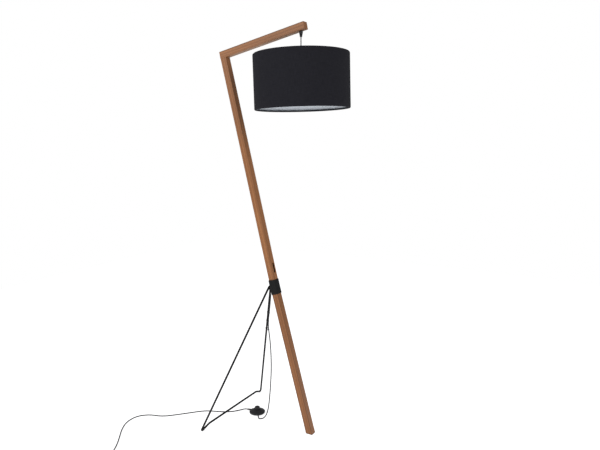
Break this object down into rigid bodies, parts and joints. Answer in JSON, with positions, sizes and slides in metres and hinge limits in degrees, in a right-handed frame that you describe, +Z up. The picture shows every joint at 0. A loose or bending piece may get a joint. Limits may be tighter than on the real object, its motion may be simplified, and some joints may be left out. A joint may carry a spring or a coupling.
{
  "type": "leaning floor lamp",
  "caption": "Floor lamp with a leaning square wooden pole in a black steel collar with a bent-rod stand, a wooden arm and a drum shade hung on a short cord; foot switch and plug on its lead.",
  "frame": {"origin": "on the floor where the pole's centre line meets it", "axes": "+Z up, +X the way the arm points and the pole leans away from, -Y the near side of the stand"},
  "size_m": [0.9496, 0.9208, 1.7789],
  "materials": {
    "wood": "oiled, straight reddish-brown grain",
    "pale_wood": "unoiled pale strip",
    "dowel_wood": "plain beech",
    "black_steel": "satin black powder coat",
    "white_steel": "white powder coat",
    "screw_steel": "zinc plated",
    "rubber": "matt",
    "black_plastic": "moulded, fine grain",
    "cord_sheath": "braided textile sheath",
    "shade_fabric": "fine plain weave",
    "shade_lining": "white satin",
    "ceramic": "unglazed white",
    "brass": "plain",
    "bulb_metal": "rolled thread",
    "bulb_housing": "white moulded",
    "bulb_diffuser": "opal",
    "pin_metal": "nickel plated"
  },
  "bodies": {
    "stand": {"lower_pole": "wood", "upper_pole": "wood", "arm": "wood", "arm_strip": "pale_wood", "arm_dowels": "dowel_wood", "foot_pad": "rubber", "collar": "black_steel", "collar_screws": "screw_steel", "cord_grommet": "rubber", "stand_head": "black_steel", "stand_lug": "black_steel", "stand_leg_near": "black_steel", "stand_leg_far": "black_steel", "stand_crossbar": "black_steel", "inner_cord": "cord_sheath", "arm_grip": "black_plastic", "switch_base": "black_plastic", "switch_cover": "black_plastic", "switch_boots": "black_plastic", "switch_block": "black_plastic", "switch_spring": "screw_steel", "switch_screws": "screw_steel", "switch_pads": "rubber", "cord_drop": "cord_sheath", "cord_floor": "cord_sheath", "leg_ties": "black_plastic", "cord_coil": "cord_sheath", "coil_tie": "black_plastic", "cord_tail": "cord_sheath", "plug_body": "black_plastic", "plug_pins": "pin_metal", "plug_relief": "black_plastic"},
    "pendant_cord": {"pendant_cord": "cord_sheath"},
    "clamp": {"holder_clamp": "black_plastic"},
    "lamp": {"holder_cap": "black_plastic", "holder_skirt": "black_plastic", "holder_ring": "black_plastic", "holder_insert": "ceramic", "holder_contact": "brass", "bulb_tip": "brass", "bulb_cap": "bulb_metal", "bulb_body": "bulb_housing", "bulb_dome": "bulb_diffuser", "shade_fabric": "shade_fabric", "shade_lining": "shade_lining", "shade_hem_top": "shade_fabric", "shade_hem_bottom": "shade_fabric", "shade_spider": "white_steel", "shade_hoop_top": "white_steel", "shade_hoop_bottom": "white_steel"},
    "button": {"switch_button": "black_plastic"}
  },
  "joints": [
    {"name": "pendant_swing_front_back", "type": "hinge", "parent": "stand", "child": "pendant_cord", "pos_m": [-0.05031, 0, 1.71931], "axis": [0, 1, 0], "range_deg": [-10, 10]},
    {"name": "pendant_swing_sideways", "type": "hinge", "parent": "pendant_cord", "child": "clamp", "pos_m": [-0.05031, 0, 1.6719], "axis": [1, 0, 0], "range_deg": [-10, 10]},
    {"name": "shade_turn", "type": "hinge", "parent": "clamp", "child": "lamp", "pos_m": [-0.05031, 0, 1.6719], "axis": [-0.0305, 0, 0.9995], "range_deg": [-180, 180]},
    {"name": "switch_press", "type": "slide", "parent": "stand", "child": "button", "axis": [0, 0, -1], "range_m": [0, 0.0035], "stiffness_N_per_m": 400, "springref_m": -0.002, "deforming": ["switch_spring"]}
  ]
}
